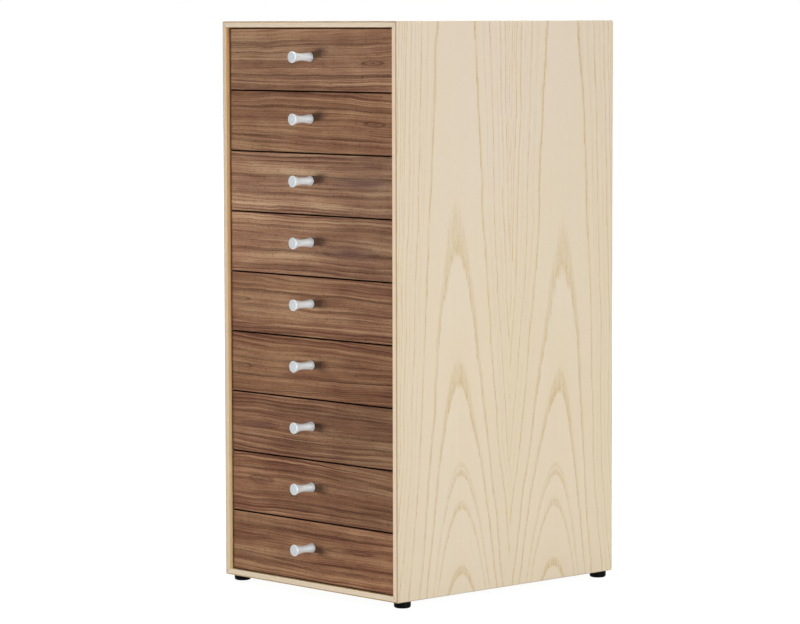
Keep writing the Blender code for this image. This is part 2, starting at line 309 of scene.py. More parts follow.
def shown_directly(start):
    """1 for a ray that brings a surface to the camera, also by way of metal or glass."""
    rays = start.node("LightPath").socket.node
    camera_ray, glossy_ray, through_ray = (
        Field(start.tree, rays.outputs[f"Is {kind} Ray"])
        for kind in ("Camera", "Glossy", "Transmission")
    )
    return camera_ray.most(glossy_ray).most(through_ray)


ROOM_GLOW = 0.02
world = bpy.data.worlds.new("white_room")
bpy.context.scene.world = world
world.use_nodes = True
room = Field(world.node_tree)
for spare in list(world.node_tree.nodes):
    world.node_tree.nodes.remove(spare)
glow = shown_directly(room) * (1.0 - ROOM_GLOW) + ROOM_GLOW
surround = room.node("Background", None, {"Color": (1, 1, 1, 1), "Strength": glow})
world_end = world.node_tree.nodes.new("ShaderNodeOutputWorld")
world.node_tree.links.new(surround.socket, world_end.inputs["Surface"])

FLOOR_SIZE = 26.0
FLOOR_GLOW = 1.17
# Near the chest the floor shows this share of its glow, and all of it further out
NEAR_GLOW_SHARE = 0.82
NEAR_FLOOR = 350.0
OPEN_FLOOR = 1100.0
PAPER_DARK = (200, 200, 200)
PAPER_PALE = (206, 206, 206)
bpy.ops.mesh.primitive_plane_add(size=FLOOR_SIZE, location=(0, 0, 0))
floor = bpy.context.object
floor.name = "floor"
floor_finish, start, paper = new_finish("white_paper")
place = place_in_millimetres(start)
mottle = place.noise((0.02, 0.02, 0.02), detail=4.0)
paper_colour = mottle.tint(light_of(PAPER_DARK), light_of(PAPER_PALE))
start.feed(paper.inputs["Base Color"], paper_colour)
paper.inputs["Roughness"].default_value = 0.9
paper.inputs["Specular IOR Level"].default_value = 0.1
lit = start.node("Emission", None, {"Color": (1, 1, 1, 1), "Strength": FLOOR_GLOW})
flat_place = place.stretched((1, 1, 0))
away = flat_place.node(
    "VectorMath", {"operation": "LENGTH"}, {0: flat_place}, output="Value"
)
glowing = away.ramp(NEAR_FLOOR, OPEN_FLOOR, NEAR_GLOW_SHARE, 1.0)
both = start.node(
    "MixShader",
    None,
    {0: shown_directly(start) * glowing, 1: Field(start.tree, paper.outputs[0]), 2: lit},
)
floor_end = next(n for n in start.tree.nodes if n.type == "OUTPUT_MATERIAL")
start.tree.links.new(both.socket, floor_end.inputs["Surface"])
floor.data.materials.append(floor_finish)


# The case is four boards of ash-veneered board, mitred at the corners. Each side
# carries two matched leaves of flat-sawn veneer, opened like a book, and the front
# edges are lipped with straight-grained ash and eased by hand.
CASE_FRONT = -159.1
CASE_UNDERSIDE = 7.3
CASE_TOP = 647.3
CASE_HALF_WIDTH = 146.5
SEAM = 174.0
# The second leaf mirrors the first at the seam, stretched a little and laid lower. Each
# leaf's middle leans, from the first place at its foot to the second at LEAN_TOP.
SECOND_LEAF_STRETCH = 0.06
SECOND_LEAF_DROP = 5.0
LEAN_TOP = 420.0
LEAF_MIDDLE = (98.5, 91.0)
SECOND_LEAF_SHIFT = (6.0, -2.6)
GRAIN_WANDER = 7.0
# The fibres draw the edges of a line out by the first length low down, by the second higher
BRUSHED_RISE = (140.0, 400.0)
BRUSHED_BY = (8.0, 60.0)
# A growth line's number is the square of its distance from the leaf's middle, less the
# arch. This curve gives the arch over the height, and its lines run up into points.
ARCH_LOW = -1000.0
ARCH_SPAN = 5500.0
ARCH_TOP = 640.0
ARCH_CURVE = (
    (0.0, 0.955),
    (0.16, 0.69),
    (0.30, 0.492),
    (0.48, 0.318),
    (0.64, 0.184),
    (0.88, 0.073),
    (1.0, 0.012),
)
INNER_SPAN = (-5000.0, 1000.0)
OUTER_SPAN = (0.0, 11000.0)
FAINT_LINE_PITCH = 1300.0
ASH_ROSE = (223, 208, 191)
ASH_STRAW = (224, 209, 184)
ASH_LINE = (198, 171, 120)
ASH_SUMMER = (217, 200, 163)
ASH_ARRIS = (176, 143, 98)
ASH_LIP_PALE = (240, 223, 201)
ASH_LIP_WARM = (231, 211, 182)
# Painted light in the recess: amber bounce light from the walnut, high and low, and painted
# shade towards the gaps
PAINTED_BOUNCE_HIGH = (229, 180, 120)
PAINTED_BOUNCE_LOW = (251, 221, 164)
PAINTED_RECESS_SHADE = (110, 70, 36)
# Where each of these starts and ends, in from the case's front or from its outer face
LIP_DEPTH = (0.3, 0.6)
ARRIS_DEPTH = (0.5, 0.9)
ARRIS_WIDTH = (1.2, 2.0)
INNER_FACE = (6.2, 6.8)
PAINTED_BOUNCE_DEPTH = (5.0, 9.0)
PAINTED_SHADE_DEPTH = (3.0, 5.5)
WOOD_RELIEF = 0.00006


def growth_lines(lines, low, high):
    """Stops of a ramp: red fades across each line, green holds how dark the line is,
    blue is the summer wood that fades from one line to the next."""
    stops = [(0.0, (0.0, lines[0][2], 0.0, 1.0))]
    for place, width, depth in lines:
        share = (place - low) / (high - low)
        step = width / (high - low)
        for offset, level, summer in ((0.0, 0.0, 0.0), (0.06, 1.0, 1.0), (1.0, 0.0, 0.8)):
            stops.append((share + offset * step, (level, depth, summer, 1.0)))
    return stops


# Each line's number, its width and how dark it is
INNER_LINES = (
    (-3930.0, 240.0, 1.0),
    (-2890.0, 200.0, 0.7),
    (-2380.0, 130.0, 0.8),
    (-2240.0, 90.0, 0.4),
    (-1330.0, 340.0, 0.95),
    (-190.0, 460.0, 0.9),
)
OUTER_LINES = (
    (1640.0, 290.0, 1.0),
    (2550.0, 160.0, 0.45),
    (3500.0, 270.0, 0.9),
    (4600.0, 190.0, 0.55),
    (5380.0, 280.0, 0.9),
    (6430.0, 260.0, 1.0),
    (7000.0, 210.0, 0.7),
    (7550.0, 220.0, 0.8),
    (8300.0, 270.0, 0.95),
    (9700.0, 310.0, 0.9),
)


def scaled(grain, across, along):
    """The noise scales of a grain, made finer across its fibres and along them."""
    return tuple(scale * (along if scale == min(grain) else across) for scale in grain)


def ash_figure(place, depth, rise, grain):
    """How dark the growth lines of two matched leaves are, and how much is summer wood."""
    fibre = place.noise(scaled(grain, 0.9, 0.6), 2.0, 0.6)
    wander = place.noise(scaled(grain, 0.03, 0.7), 2.0, 0.5)
    rough = place.noise(scaled(grain, 1.6, 9.0), 2.0, 0.6)
    strokes = place.noise(scaled(grain, 1.0, 1.3), 2.0, 0.6)
    second = depth.ramp(SEAM - 0.1, SEAM + 0.1)
    folded = SEAM - abs(depth - SEAM)
    lifted = rise + second * (rise * SECOND_LEAF_STRETCH + SECOND_LEAF_DROP)
    lifted = lifted + (fibre - 0.5) * rise.ramp(*BRUSHED_RISE, *BRUSHED_BY)
    middle = lifted.ramp(0.0, LEAN_TOP, *LEAF_MIDDLE)
    middle = middle + second * lifted.ramp(0.0, LEAN_TOP, *SECOND_LEAF_SHIFT)
    arch = (lifted / ARCH_TOP).curved(ARCH_CURVE) * ARCH_SPAN + ARCH_LOW
    away = folded - middle + (wander - 0.5) * GRAIN_WANDER
    ring = away * away - arch
    tight = (lifted / 150.0).least(1.0).most(0.0) * 0.3 + 0.7
    ring = ring.least(0.0) + ring.most(0.0) * tight
    dark = 0.0
    summers = 0.0
    for lines, (low, high) in ((INNER_LINES, INNER_SPAN), (OUTER_LINES, OUTER_SPAN)):
        share = (ring - low) / (high - low)
        fading, strength, summer = share.coloured(growth_lines(lines, low, high)).parts()
        summers = summer * summer * strength + summers
        body = (fading + (fibre + rough - 1.0) * 0.6).ramp(0.20, 0.50)
        rim = fading.ramp(0.78, 0.97) * 0.30 + fading * 0.22 + 0.26
        dark = body * rim * strength + dark
    faint = (ring / FAINT_LINE_PITCH + wander * 1.6).fraction()
    faint = faint.ramp(0.0, 0.06) * faint.fade(0.07, 0.3) * ring.ramp(900.0, 2200.0)
    bolder = rise.ramp(160.0, 560.0, 0.12, 0.7) * ring.ramp(600.0, 1600.0)
    bolder = bolder + rise.ramp(80.0, 420.0, 1.45, 1.12)
    dark = faint * fibre.ramp(0.36, 0.56, 0.06, 0.20) + dark * bolder
    broken = strokes.ramp(0.40, 0.56, 0.3, 1.0) * rough.ramp(0.34, 0.60, 0.45, 1.05)
    return dark.least(1.0) * broken, summers * ring.ramp(-4500.0, -3900.0)


def ash_finish(name, upright):
    """Clear matt lacquer on ash. The grain climbs the sides and crosses the top and bottom."""
    finish, start, shader = new_finish(name)
    place = place_in_millimetres(start)
    x, y, z = place.parts()
    depth = y - CASE_FRONT
    low_down = z.fade(60.0, 460.0)
    if upright:
        grain = (0.5, 1.0, 0.022)
        rise = z - CASE_UNDERSIDE
        outward = CASE_HALF_WIDTH - abs(x)
        lip_shade, bounce_share, painted_shade_share = 0.74, 0.9, low_down * -0.35 + 0.42
    else:
        grain = (0.022, 1.0, 0.5)
        rise = CASE_TOP - CASE_UNDERSIDE + CASE_HALF_WIDTH - x
        outward = (CASE_TOP - z).least(z - CASE_UNDERSIDE)
        lip_shade, bounce_share, painted_shade_share = 0.86, 0.5, 0.6
    lines, summers = ash_figure(place, depth, rise, grain)
    fine = place.noise(scaled(grain, 3.0, 3.0), 3.0, 0.65)
    broad = place.noise(scaled(grain, 0.2, 0.2), 2.0, 0.5)
    patch = place.noise((0.009, 0.009, 0.005), 2.0, 0.5)
    vessels = place.noise(scaled(grain, 6.0, 12.0), 1.0, 0.5).ramp(0.60, 0.72)
    rosy = (patch + rise / 900.0 - 0.35).ramp(0.2, 0.9)
    colour = rosy.tint(light_of(ASH_STRAW), light_of(ASH_ROSE))
    colour = (summers * (broad + 0.1) * 0.45).least(1.0).tint(colour, light_of(ASH_SUMMER))
    streak = (fine - 0.5) * 0.08 + (broad - 0.5) * 0.05 + (patch - 0.5) * 0.05 + 1.0
    colour = streak.shade(colour)
    grained = lines * 1.1 + vessels * (lines * 0.4 + 0.17)
    colour = grained.least(1.0).tint(colour, light_of(ASH_LINE))
    # The lip on the front edge, and the arris where it meets the face
    lip_streak = place.noise(scaled(grain, 2.2, 2.2), 3.0, 0.6).ramp(0.25, 0.75)
    lip_colour = lip_streak.tint(light_of(ASH_LIP_PALE), light_of(ASH_LIP_WARM))
    lip_colour = (x / CASE_HALF_WIDTH).ramp(-1.0, 1.0, lip_shade, 1.0).shade(lip_colour)
    colour = depth.fade(*LIP_DEPTH).tint(colour, lip_colour)
    arris = outward.fade(*ARRIS_WIDTH) * depth.fade(*ARRIS_DEPTH)
    colour = (arris * 0.9).tint(colour, light_of(ASH_ARRIS))
    # Inner faces before the drawers: painted bounce light in amber, lighter low down, and
    # painted shade towards the gaps
    inner = outward.ramp(*INNER_FACE)
    painted_bounce = low_down.tint(light_of(PAINTED_BOUNCE_HIGH), light_of(PAINTED_BOUNCE_LOW))
    colour = (inner * depth.fade(*PAINTED_BOUNCE_DEPTH) * bounce_share).tint(colour, painted_bounce)
    recess_painted_shade = inner * depth.ramp(*PAINTED_SHADE_DEPTH) * painted_shade_share
    colour = recess_painted_shade.tint(colour, light_of(PAINTED_RECESS_SHADE))
    height = fine * 0.5 - vessels * 0.6 - lines * 0.15
    dress(shader, colour, fine * 0.12 + 0.48, height, WOOD_RELIEF)
    shader.inputs["Specular IOR Level"].default_value = 0.35
    return finish


upright_ash = ash_finish("ash_upright", upright=True)
level_ash = ash_finish("ash_level", upright=False)
for name in ("case_left_side", "case_right_side"):
    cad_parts[name].material_slots[0].material = upright_ash
for name in ("case_top", "case_bottom"):
    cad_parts[name].material_slots[0].material = level_ash


# The back is one thin ash-veneered panel, let into a rebate and pinned round its
# edge with small brads, each sunk and filled.
PANEL_HALF_WIDTH = 143.2
PANEL_LOW = 10.6
PANEL_HIGH = 644.0
PANEL_GRAIN = (1.0, 0.5, 0.022)
PIN_INSET = 6.0
PIN_PITCH = 70.4
PIN_EDGE = (0.7, 1.0)
PIN_COLOUR = (150, 118, 80)
finish, start, shader = new_finish("ash_panel")
place = place_in_millimetres(start)
x, y, z = place.parts()
lines, summers = ash_figure(place, x + SEAM, z - PANEL_LOW, PANEL_GRAIN)
fine = place.noise(scaled(PANEL_GRAIN, 3.0, 3.0), 3.0, 0.65)
broad = place.noise(scaled(PANEL_GRAIN, 0.2, 0.2), 2.0, 0.5)
warm = (broad * 0.6 + fine * 0.4).ramp(0.3, 0.7)
colour = warm.tint(light_of(ASH_ROSE), light_of(ASH_STRAW))
colour = (summers * 0.25).least(1.0).tint(colour, light_of(ASH_SUMMER))
colour = ((fine - 0.5) * 0.1 + 1.0).shade(colour)
colour = lines.least(1.0).tint(colour, light_of(ASH_LINE))
along_x = abs((x / PIN_PITCH + 0.5).fraction() - 0.5) * PIN_PITCH
along_z = abs(((z - PANEL_LOW) / PIN_PITCH + 0.5).fraction() - 0.5) * PIN_PITCH
from_side = PANEL_HALF_WIDTH - PIN_INSET - abs(x)
from_end = (PANEL_HIGH - z).least(z - PANEL_LOW) - PIN_INSET
from_pin = from_side.hypotenuse(along_z).least(from_end.hypotenuse(along_x))
pin = from_pin.fade(*PIN_EDGE)
colour = (pin * 0.8).tint(colour, light_of(PIN_COLOUR))
dress(shader, colour, fine * 0.12 + 0.52, fine * 0.5 - pin * 2.0, WOOD_RELIEF)
shader.inputs["Specular IOR Level"].default_value = 0.3
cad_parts["back_panel"].material_slots[0].material = finish


# The runner boards and the drawers' walls and bottoms are birch plywood with a
# clear matt lacquer. The runner boards are grooved right through their face veneer,
# so that thin layers show along each groove.
BIRCH_PALE = (222, 200, 164)
BIRCH_WARM = (206, 180, 140)
BIRCH_DARK = (160, 126, 86)
BIRCH_INSIDE = (170, 134, 92)
PLY_LAYER = 1.2
FACE_VENEER = (0.5, 0.7)


def birch_finish(name, grain, depth_in=None):
    """Rotary-cut birch. depth_in gives how deep in the board a point is, where layers show."""
    finish, start, shader = new_finish(name)
    place = place_in_millimetres(start)
    fine = place.noise(scaled(grain, 2.2, 2.2), 3.0, 0.65)
    broad = place.noise(scaled(grain, 0.06, 0.06), 3.0, 0.5)
    curl = (place.noise(scaled(grain, 0.035, 0.035), 1.0, 0.4) * 9.0).fraction()
    lines = curl.ramp(0.0, 0.2) * curl.fade(0.25, 0.8)
    warm = (broad * 0.6 + fine * 0.4).ramp(0.3, 0.7)
    colour = warm.tint(light_of(BIRCH_PALE), light_of(BIRCH_WARM))
    colour = (lines * 0.22).tint(colour, light_of(BIRCH_DARK))
    height = fine * 0.5
    if depth_in:
        depth = depth_in(place)
        layer = (depth / (2 * PLY_LAYER)).fraction()
        crosswise = abs(layer - 0.5).ramp(0.22, 0.28) * depth.ramp(*FACE_VENEER)
        flecks = place.noise((1.4, 1.4, 1.4), 2.0, 0.6).ramp(0.35, 0.65, 0.6, 1.0)
        colour = (crosswise * flecks * 0.55).tint(colour, light_of(BIRCH_INSIDE))
        height = height - crosswise * 0.6
    dress(shader, colour, fine * 0.12 + 0.5, height, WOOD_RELIEF)
    shader.inputs["Specular IOR Level"].default_value = 0.3
    return finish


RUNNER_INNER = 130.2


def depth_in_runner(place):
    return abs(place.parts()[0]) - RUNNER_INNER


runner_ply = birch_finish("birch_runner", (1.0, 0.03, 1.0), depth_in_runner)
for name in ("left_runner_board", "right_runner_board"):
    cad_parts[name].material_slots[0].material = runner_ply


# Four black glides of moulded plastic carry the case. Each has a low round foot,
# a hollow sole and a stem that is pressed into a blind hole in the case bottom.
GLIDE_STEPS = 72
GLIDE_RADIUS = 0.0095
GLIDE_HEIGHT = 0.007
GLIDE_ROUND = 0.0025
GLIDE_EASE = 0.0004
GLIDE_STEM_RADIUS = 0.0025
GLIDE_STEM_TOP = 0.012
STEM_CHAMFER = 0.0003
SOLE_RADIUS = 0.0058
SOLE_RIM = 0.0006
SOLE_DEPTH = 0.0006
GLIDE_DARK = (5, 5, 6)
GLIDE_PALE = (11, 11, 12)
GLIDE_SCUFF = (70, 69, 68)
SCUFFED_HEIGHT = (0.2, 2.6)


def arc(middle, radius, start_angle, end_angle, steps):
    """Points on part of a circle, in distance from the turning axis and place along it."""
    points = []
    for step in range(steps + 1):
        angle = math.radians(start_angle + (end_angle - start_angle) * step / steps)
        points.append(
            (middle[0] + radius * math.cos(angle), middle[1] + radius * math.sin(angle))
        )
    return points


def turned(name, outline, foot, along, steps, sharp=40):
    """Draws half an outline point by point and spins it once round its axis."""
    across = Vector((1, 0, 0))
    foot = Vector(foot)
    along = Vector(along)
    bpy.ops.object.select_all(action="DESELECT")
    bpy.ops.mesh.primitive_plane_add(size=0.01, location=(0, 0, 0))
    piece = bpy.context.object
    piece.name = name
    piece.data.name = name
    bpy.ops.object.mode_set(mode="EDIT")
    bpy.ops.mesh.select_all(action="SELECT")
    bpy.ops.mesh.merge(type="CENTER")
    places = [foot + across * radius + along * reach for radius, reach in outline]
    bpy.ops.transform.translate(value=places[0])
    for here, there in zip(places, places[1:]):
        bpy.ops.mesh.extrude_vertices_move(TRANSFORM_OT_translate={"value": there - here})
    bpy.ops.mesh.select_all(action="SELECT")
    bpy.ops.mesh.spin(steps=steps, angle=2 * math.pi, center=foot, axis=along)
    bpy.ops.mesh.select_all(action="SELECT")
    bpy.ops.mesh.remove_doubles(threshold=2e-6)
    bpy.ops.mesh.normals_make_consistent(inside=False)
    bpy.ops.object.mode_set(mode="OBJECT")
    bpy.ops.object.shade_smooth_by_angle(angle=math.radians(sharp))
    return piece


def copied(piece, name, shift):
    """A copy with its own mesh, moved in its mesh."""
    twin = piece.copy()
    twin.data = piece.data.copy()
    twin.name = name
    twin.data.name = name
    twin.data.transform(Matrix.Translation(shift))
    bpy.context.scene.collection.objects.link(twin)
    return twin


glide_outline = (
    [(0.0, SOLE_DEPTH), (SOLE_RADIUS - SOLE_RIM, SOLE_DEPTH), (SOLE_RADIUS, 0.0)]
    + arc((GLIDE_RADIUS - GLIDE_ROUND, GLIDE_ROUND), GLIDE_ROUND, -90, 0, 10)
    + arc((GLIDE_RADIUS - GLIDE_EASE, GLIDE_HEIGHT - GLIDE_EASE), GLIDE_EASE, 0, 90, 4)
    + [
        (GLIDE_STEM_RADIUS, GLIDE_HEIGHT),
        (GLIDE_STEM_RADIUS, GLIDE_STEM_TOP - STEM_CHAMFER),
        (GLIDE_STEM_RADIUS - STEM_CHAMFER, GLIDE_STEM_TOP),
        (0.0, GLIDE_STEM_TOP),
    ]
)
finish, start, shader = new_finish("glide_black_plastic")
place = place_in_millimetres(start)
grit = place.noise((1.8, 1.8, 1.8), 3.0, 0.6)
scuff = place.noise((0.35, 0.35, 2.4), 3.0, 0.6).ramp(0.52, 0.70)
low_down = place.parts()[2].fade(*SCUFFED_HEIGHT)
colour = grit.tint(light_of(GLIDE_DARK), light_of(GLIDE_PALE))
colour = (scuff * (low_down * 0.4 + 0.06)).tint(colour, light_of(GLIDE_SCUFF))
dress(shader, colour, grit * 0.14 + 0.36 + scuff * 0.1, grit, depth=0.00005, strength=0.35)
shader.inputs["Specular IOR Level"].default_value = 0.04

glide_names = ("front_left_glide", "front_right_glide", "back_left_glide", "back_right_glide")
first_low, first_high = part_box(glide_names[0])
first_middle = (first_low + first_high) / 2
first_foot = (first_middle.x, first_middle.y, 0.0)
first_glide = turned("foot_front_left", glide_outline, first_foot, (0, 0, 1), GLIDE_STEPS)
first_glide.data.materials.append(finish)
glides = [first_glide]
for name in glide_names[1:]:
    low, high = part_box(name)
    foot_name = "foot_" + name.replace("_glide", "")
    glides.append(copied(first_glide, foot_name, (low + high) / 2 - first_middle))
for glide, name in zip(glides, glide_names):
    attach(glide, "case")
    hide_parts(name)


# The nine drawer fronts are faced with walnut, cut from one flitch and laid in
# turn like the pages of a book, so that each second front mirrors the one above.
# Their edges are eased just enough to take the sharpness off.
DRAWER_COUNT = 9
INNER_FLOOR = 14.3
DRAWER_PITCH = 69.3
FRONT_HALF_WIDTH = 138.3
FRONT_FACE = -154.1
WALNUT_PALE = (181, 145, 112)
WALNUT_MID = (145, 106, 81)
WALNUT_DARK = (103, 67, 53)
WALNUT_LINE = (62, 35, 24)
WALNUT_SMUDGE = (104, 72, 64)
# The colour of the painted shade on the fronts' edges and in the gaps between them
WALNUT_GAP_SHADE = (42, 27, 18)
# Lengths past a front's upper or lower edge, and back from its face, that take painted shade
ARRIS_SHADE_SPAN = (-0.50, -0.05)
EDGE_SHADE_SPAN = (-0.14, 0.0)
EDGE_SHADE_SETBACK = (0.4, 1.2)
LACQUER_RELIEF = 0.00004
# How light each front is at its left and at its right
FRONT_TONES = (
    (0.90, 1.12), (0.82, 1.02), (1.15, 1.07), (1.13, 0.96), (0.90, 0.97),
    (0.80, 0.83), (0.86, 0.73), (0.93, 0.76), (0.76, 1.03),
)
# How much redder each front is than the first
FRONT_REDS = (-0.4, 0.2, -0.9, -0.5, 0.1, 0.6, 0.15, 0.4, 0.6)
RINGS_CROWDED = 12.0
RINGS_OPEN = 6.0
FINE_RING = 2.7
# Each growth line's height at the left, in the middle and at the right, as a share
# of the front from its top, then how dark it is; a pale streak is less than nothing
FRONT_LINES = (
    ((0.16, 0.17, 0.11, 0.5), (0.24, 0.235, 0.205, 0.7), (0.40, 0.36, 0.25, 0.45),
     (0.53, 0.53, 0.62, 0.35), (0.69, 0.74, 0.68, 0.9), (0.90, 0.92, 0.88, 0.4),
     (0.86, 0.875, 0.83, -0.6)),
    ((0.06, 0.07, 0.06, 0.3), (0.30, 0.276, 0.363, 0.85), (0.43, 0.46, 0.45, 0.35),
     (0.52, 0.62, 0.55, 0.35), (0.757, 0.763, 0.818, 0.8), (0.845, 0.863, 0.897, 0.6),
     (0.12, 0.13, 0.21, -0.6)),
    ((0.06, 0.06, 0.07, 0.5), (0.13, 0.14, 0.15, 0.4), (0.345, 0.37, 0.38, 0.8),
     (0.58, 0.55, 0.56, 0.5), (0.68, 0.67, 0.65, 0.6), (0.96, 0.95, 0.96, 0.4),
     (0.8, 0.85, 0.84, -0.6)),
    ((0.225, 0.235, 0.30, 0.5), (0.344, 0.41, 0.42, 0.4), (0.65, 0.62, 0.60, 0.95),
     (0.66, 0.64, 0.52, 0.5), (0.886, 0.88, 0.93, 0.5), (0.96, 0.95, 0.97, 0.3),
     (0.07, 0.11, 0.13, -0.6)),
    ((0.07, 0.08, 0.11, 0.4), (0.23, 0.29, 0.37, 0.95), (0.443, 0.45, 0.45, 0.25),
     (0.57, 0.545, 0.50, 0.7), (0.67, 0.66, 0.665, 0.45), (0.93, 0.95, 0.95, 0.4),
     (0.8, 0.83, 0.81, -0.6)),
    ((0.31, 0.32, 0.31, 0.4), (0.39, 0.42, 0.487, 0.7), (0.535, 0.53, 0.56, 0.3),
     (0.754, 0.69, 0.594, 0.95), (0.90, 0.88, 0.80, 0.35), (0.936, 0.92, 0.86, 0.55),
     (0.15, 0.17, 0.18, -0.6)),
    ((0.10, 0.11, 0.09, 0.3), (0.186, 0.186, 0.16, 0.7), (0.24, 0.30, 0.27, 0.35),
     (0.57, 0.56, 0.62, 0.45), (0.684, 0.72, 0.63, 0.75), (0.90, 0.92, 0.88, 0.3),
     (0.83, 0.86, 0.79, -0.6)),
    ((0.06, 0.06, 0.07, 0.3), (0.30, 0.255, 0.33, 0.75), (0.40, 0.39, 0.49, 0.55),
     (0.69, 0.645, 0.66, 0.35), (0.81, 0.79, 0.83, 0.75), (0.875, 0.88, 0.90, 0.6),
     (0.07, 0.09, 0.19, -0.6)),
    ((0.085, 0.12, 0.10, 0.55), (0.178, 0.20, 0.17, 0.8), (0.27, 0.33, 0.30, 0.35),
     (0.45, 0.45, 0.43, 0.3), (0.64, 0.68, 0.655, 0.8), (0.71, 0.78, 0.735, 0.7),
     (0.86, 0.87, 0.84, -0.6)),
)
# Small eyes in the figure: place across, share of height, half length, half height and
# how far the middle is filled
FRONT_EYES = (
    (103.0, 0.545, 15.0, 2.6, 0.2),
    (106.0, 0.465, 15.0, 2.6, 0.2),
    (90.0, 0.45, 48.0, 7.0, 1.0),
    (66.0, 0.575, 40.0, 6.5, 1.0),
    (-128.0, 0.46, 20.0, 2.5, 0.4),
    (-126.0, 0.54, 22.0, 2.5, 0.3),
    (-91.0, 0.53, 28.0, 3.4, 0.75),
    (-88.0, 0.43, 19.0, 4.0, 0.6),
    (62.0, 0.42, 34.0, 3.0, 0.3),
)


def trend(lines, turns):
    """How a turn of the grain grows down a front: its value at the top and its growth."""
    shares = [abs(line[3]) for line in lines]
    weight = sum(shares)
    mean = sum(line[1] * share for line, share in zip(lines, shares)) / weight
    middle = sum(turn * share for turn, share in zip(turns, shares)) / weight
    spread = sum(share * (line[1] - mean) ** 2 for line, share in zip(lines, shares))
    tilt = sum(
        share * (line[1] - mean) * (turn - middle)
        for line, turn, share in zip(lines, turns, shares)
    )
    return middle - mean * tilt / spread, tilt / spread


def growth_ramp(lines, mirrored):
    """Stops of a ramp over a front's height: halfway up is plain, higher is darker."""
    stops = [(0.0, 0.5)]
    for left, middle, right, depth in sorted(lines, key=lambda line: line[1]):
        wide = 0.75 + 0.6 * abs(depth)
        shape = ((-0.009, 0.0), (0.0, depth), (0.018 * wide, depth * 0.7), (0.05 * wide, 0.0))
        if mirrored:
            shape = tuple((-offset, level) for offset, level in reversed(shape))
        for offset, level in shape:
            share = min(max(middle + offset, stops[-1][0] + 0.002), 1.0)
            stops.append((share, 0.5 + level / 2))
    return stops[:32]


def is_mirrored(number):
    return number % 2 == 0


def leaf_seed(number):
    """Two fronts that mirror each other share most of their figure."""
    return 40.0 * ((number - 1) // 2) + 1.5 * number


def point(across, deep, up):
    """A place from its three parts."""
    return across.node("CombineXYZ", None, {0: across, 1: deep, 2: up})


def grain_flow(number, x, y, height):
    """How far down its leaf each point lay before the grain bent, and its place there."""
    lines = FRONT_LINES[number - 1]
    bends = [(left + right) / 2 - middle for left, middle, right, depth in lines]
    bend_start, bend_growth = trend(lines, bends)
    tilts = [(right - left) / 2 for left, middle, right, depth in lines]
    tilt_start, tilt_growth = trend(lines, tilts)
    seed = leaf_seed(number)
    flip = -1.0 if is_mirrored(number) else 1.0
    across = x / FRONT_HALF_WIDTH
    led = height - (height * bend_growth + bend_start) * across * across
    led = led - (height * tilt_growth + tilt_start) * across
    still = point(x + seed * 7.0, seed, (height - 0.5) * (DRAWER_PITCH * flip))
    wave = still.noise((0.010, 1.0, 0.018), 2.0, 0.5)
    ripple = still.noise((0.030, 1.0, 0.07), 2.0, 0.5)
    flow = led + ((wave - 0.5) * 0.10 + (ripple - 0.5) * 0.022) * flip
    leaf = point(x + seed * 7.0, y + seed, (flow - 0.5) * (DRAWER_PITCH * flip))
    return flow, leaf


def front_marks(number, x, flow, leaf):
    """A front's own lines and eye, its pale streaks and the smudge round its eye."""
    broken = leaf.noise((0.012, 0.0, 0.14), 2.0, 0.5).ramp(0.32, 0.56, 0.55, 1.0)
    stops = growth_ramp(FRONT_LINES[number - 1], is_mirrored(number))
    drawn = flow.coloured(stops) * 2.0 - 1.0
    eye_x, eye_height, eye_length, eye_rise, filled = FRONT_EYES[number - 1]
    eye_up = (flow - eye_height) * (DRAWER_PITCH / eye_rise)
    eye = ((x - eye_x) / eye_length).hypotenuse(eye_up)
    ring = abs(eye - 1.0).ramp(0.0, 0.4, 0.75 - 0.5 * filled, 0.0)
    heart = eye.ramp(0.1, 0.5, 0.5 - 0.3 * filled, 0.0)
    dark = (drawn.most(0.0) + ring + heart) * broken
    return dark, drawn.least(0.0), eye.ramp(0.0, 1.6, filled, 0.0)


def walnut_tone(number, height, flow, leaf, fine):
    """How pale the wood is between its marks, and how much of it is late wood."""
    eye_height = FRONT_EYES[number - 1][1]
    past_eye = flow - eye_height
    from_heart = (past_eye * past_eye + 0.0015) ** 0.5
    drift = leaf.noise((0.0030, 0.0, 0.030), 1.0, 0.5)
    turns = from_heart * (from_heart * RINGS_CROWDED + RINGS_OPEN)
    season = (turns + (drift - 0.5) * 4.0 + leaf_seed(number)).fraction()
    late = season.ramp(0.40, 0.90) * season.fade(0.93, 1.0)
    early = season.ramp(0.0, 0.10) * season.fade(0.10, 0.45)
    vigour = leaf.noise((0.004, 0.0, 0.09), 1.0, 0.5).ramp(0.35, 0.62, 0.2, 1.0)
    lively = abs(height - 0.5).ramp(0.05, 0.45, 0.6, 1.2)
    finer = leaf.noise((0.0040, 0.0, 0.075), 1.0, 0.5) * 3.2 + leaf.parts()[2] / FINE_RING
    thread = finer.fraction()
    threads = thread.ramp(0.0, 0.75) * thread.fade(0.85, 1.0)
    faintness = leaf.noise((0.005, 0.0, 0.10), 1.0, 0.5).ramp(0.38, 0.60)
    stripes = leaf.noise((0.0025, 0.0, 0.36), 3.0, 0.7)
    bands = leaf.noise((0.003, 0.0, 0.05), 2.0, 0.5)
    clouds = leaf.noise((0.02, 0.0, 0.05), 2.0, 0.5)
    tone = (early * 0.20 - late * 0.25) * vigour * lively - threads * faintness * 0.26 + 0.60
    tone = tone + (stripes - 0.5) + (bands - 0.5) * 1.5 + (fine - 0.5) * 0.7
    return tone + (clouds - 0.5) * 0.65, late


